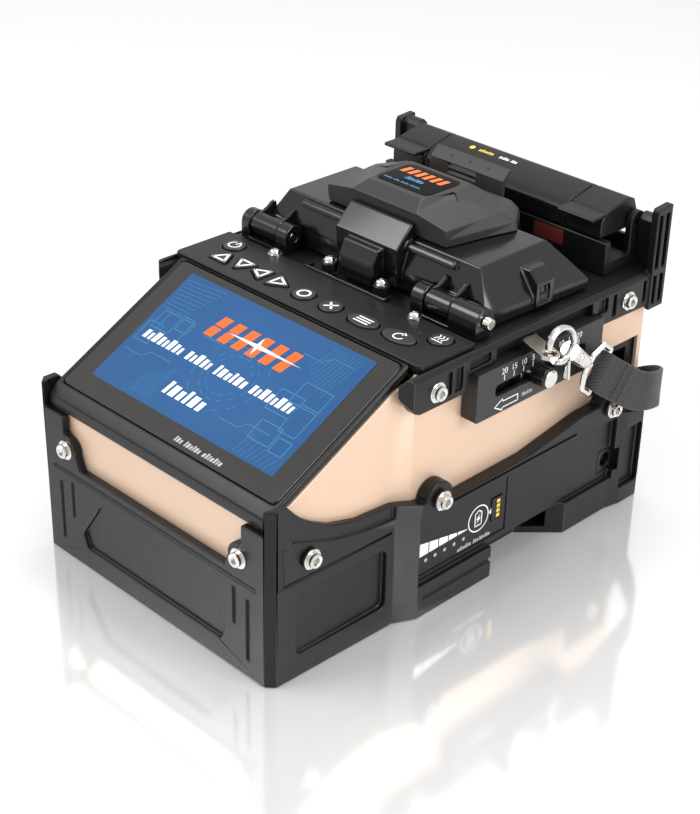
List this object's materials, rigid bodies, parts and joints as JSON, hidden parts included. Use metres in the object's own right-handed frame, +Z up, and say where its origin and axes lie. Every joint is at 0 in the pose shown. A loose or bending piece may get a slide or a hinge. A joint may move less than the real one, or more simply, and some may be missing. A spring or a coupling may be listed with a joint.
{
  "type": "fibre fusion splicer",
  "caption": "Portable fibre fusion splicer: tilted screen, key panel, hinged wind cover over the splicing unit, tube heater, battery and a carrying strap.",
  "frame": {"origin": "middle of the base's flat underside, on the centre plane, halfway between the front and rear faces of the base", "axes": "+X to the right seen from the front, +Y from the screen back to the heater, +Z up"},
  "size_m": [0.1638, 0.2012, 0.1289],
  "materials": {
    "satin_black": "fine satin texture",
    "cover_black": "polished",
    "warm_grey": "matt paint",
    "champagne": "satin",
    "screen_glass": "polished sheet",
    "key_rubber": "matt",
    "chrome": "bright plating",
    "steel": "plated",
    "anodised": "black anodised",
    "aluminium": "milled",
    "webbing": "woven",
    "circuit_board": "solder mask"
  },
  "bodies": {
    "housing": {"base_tray": "satin_black", "screen_housing": "satin_black", "screen_glass": "screen_glass", "lcd_module": "steel", "body_shell": "champagne", "key_panel": "satin_black", "keypad_board": "circuit_board", "deck_plate": "satin_black", "frame_rail_right": "satin_black", "frame_rail_left": "satin_black", "rear_panel": "satin_black", "port_panel": "satin_black", "hinge_bracket_left": "cover_black", "hinge_bracket_right": "cover_black", "hinge_pin_left": "chrome", "hinge_pin_right": "chrome", "heater_body": "satin_black", "heater_pin": "chrome", "heater_plate": "aluminium", "dc_jack": "satin_black", "scale_plate": "anodised", "groove_block": "aluminium", "electrode_front": "steel", "electrode_rear": "steel", "camera_barrel": "anodised", "main_board": "circuit_board", "power_board": "circuit_board", "strap": "webbing", "strap_bracket_right": "steel", "snap_hook_right": "chrome", "swivel_right": "chrome", "strap_bracket_left": "steel", "snap_hook_left": "chrome", "swivel_left": "chrome"},
    "cover": {"wind_cover": "cover_black", "cover_hood": "warm_grey", "cover_handle": "warm_grey"},
    "heater_lid": {"heater_lid": "satin_black"},
    "heater_clamp_right": {"heater_clamp_right": "satin_black"},
    "heater_clamp_left": {"heater_clamp_left": "satin_black"},
    "battery": {"battery_pack": "satin_black"},
    "battery_latch": {"battery_latch": "satin_black"},
    "adjuster": {"adjuster_slider": "steel"},
    "adjuster_knob": {"adjuster_knob": "chrome"},
    "stage_right": {"stage_right": "aluminium"},
    "stage_left": {"stage_left": "aluminium"},
    "fibre_clamp_right": {"fibre_clamp_right": "anodised"},
    "fibre_clamp_left": {"fibre_clamp_left": "anodised"},
    "snap_gate_right": {"snap_gate_right": "chrome"},
    "snap_gate_left": {"snap_gate_left": "chrome"},
    "key_power": {"key_power": "key_rubber"},
    "key_up": {"key_up": "key_rubber"},
    "key_down": {"key_down": "key_rubber"},
    "key_left": {"key_left": "key_rubber"},
    "key_right": {"key_right": "key_rubber"},
    "key_ok": {"key_ok": "key_rubber"},
    "key_cancel": {"key_cancel": "key_rubber"},
    "key_set": {"key_set": "key_rubber"},
    "key_reset": {"key_reset": "key_rubber"},
    "key_heat": {"key_heat": "key_rubber"}
  },
  "joints": [
    {"name": "cover_hinge", "type": "hinge", "parent": "housing", "child": "cover", "pos_m": [0, 0.0045, 0.1015], "axis": [1, 0, 0], "range_deg": [0, 88]},
    {"name": "heater_lid_hinge", "type": "hinge", "parent": "housing", "child": "heater_lid", "pos_m": [0, 0.092, 0.112], "axis": [-1, 0, 0], "range_deg": [0, 80]},
    {"name": "heater_clamp_right_hinge", "type": "hinge", "parent": "housing", "child": "heater_clamp_right", "pos_m": [0.0439, 0.092, 0.112], "axis": [-1, 0, 0], "range_deg": [0, 80]},
    {"name": "heater_clamp_left_hinge", "type": "hinge", "parent": "housing", "child": "heater_clamp_left", "pos_m": [-0.0439, 0.092, 0.112], "axis": [-1, 0, 0], "range_deg": [0, 80]},
    {"name": "battery_slide", "type": "slide", "parent": "housing", "child": "battery", "axis": [1, 0, 0], "range_m": [0, 0.112]},
    {"name": "battery_latch_press", "type": "slide", "parent": "battery", "child": "battery_latch", "axis": [-1, 0, 0], "range_m": [0, 0.0009], "stiffness_N_per_m": 400},
    {"name": "adjuster_slide", "type": "slide", "parent": "housing", "child": "adjuster", "axis": [0, 1, 0], "range_m": [-0.0168, 0.0232]},
    {"name": "adjuster_knob_turn", "type": "hinge", "parent": "adjuster", "child": "adjuster_knob", "pos_m": [0.07, 0.0233, 0.079], "axis": [1, 0, 0], "continuous": true},
    {"name": "stage_right_feed", "type": "slide", "parent": "housing", "child": "stage_right", "axis": [1, 0, 0], "range_m": [-0.002, 0.004]},
    {"name": "stage_left_feed", "type": "slide", "parent": "housing", "child": "stage_left", "axis": [-1, 0, 0], "range_m": [-0.002, 0.004]},
    {"name": "fibre_clamp_right_hinge", "type": "hinge", "parent": "stage_right", "child": "fibre_clamp_right", "pos_m": [0.0225, 0.0466, 0.1032], "axis": [-1, 0, 0], "range_deg": [0, 24]},
    {"name": "fibre_clamp_left_hinge", "type": "hinge", "parent": "stage_left", "child": "fibre_clamp_left", "pos_m": [-0.0225, 0.0466, 0.1032], "axis": [-1, 0, 0], "range_deg": [0, 24]},
    {"name": "snap_gate_right_hinge", "type": "hinge", "parent": "housing", "child": "snap_gate_right", "pos_m": [0.078, 0.0246, 0.0873], "axis": [-1, 0, 0], "range_deg": [0, 15], "stiffness_Nm_per_rad": 0.01},
    {"name": "snap_gate_left_hinge", "type": "hinge", "parent": "housing", "child": "snap_gate_left", "pos_m": [-0.078, 0.0246, 0.0729], "axis": [-1, 0, 0], "range_deg": [0, 15], "stiffness_Nm_per_rad": 0.01},
    {"name": "key_power_press", "type": "slide", "parent": "housing", "child": "key_power", "axis": [0, 0, -1], "range_m": [0, 0.0005], "stiffness_N_per_m": 300},
    {"name": "key_up_press", "type": "slide", "parent": "housing", "child": "key_up", "axis": [0, 0, -1], "range_m": [0, 0.0005], "stiffness_N_per_m": 300},
    {"name": "key_down_press", "type": "slide", "parent": "housing", "child": "key_down", "axis": [0, 0, -1], "range_m": [0, 0.0005], "stiffness_N_per_m": 300},
    {"name": "key_left_press", "type": "slide", "parent": "housing", "child": "key_left", "axis": [0, 0, -1], "range_m": [0, 0.0005], "stiffness_N_per_m": 300},
    {"name": "key_right_press", "type": "slide", "parent": "housing", "child": "key_right", "axis": [0, 0, -1], "range_m": [0, 0.0005], "stiffness_N_per_m": 300},
    {"name": "key_ok_press", "type": "slide", "parent": "housing", "child": "key_ok", "axis": [0, 0, -1], "range_m": [0, 0.0005], "stiffness_N_per_m": 300},
    {"name": "key_cancel_press", "type": "slide", "parent": "housing", "child": "key_cancel", "axis": [0, 0, -1], "range_m": [0, 0.0005], "stiffness_N_per_m": 300},
    {"name": "key_set_press", "type": "slide", "parent": "housing", "child": "key_set", "axis": [0, 0, -1], "range_m": [0, 0.0005], "stiffness_N_per_m": 300},
    {"name": "key_reset_press", "type": "slide", "parent": "housing", "child": "key_reset", "axis": [0, 0, -1], "range_m": [0, 0.0005], "stiffness_N_per_m": 300},
    {"name": "key_heat_press", "type": "slide", "parent": "housing", "child": "key_heat", "axis": [0, 0, -1], "range_m": [0, 0.0005], "stiffness_N_per_m": 300}
  ],
  "couplings": [
    {"joint": "stage_left_feed", "follows": "stage_right_feed", "ratio": 1}
  ]
}
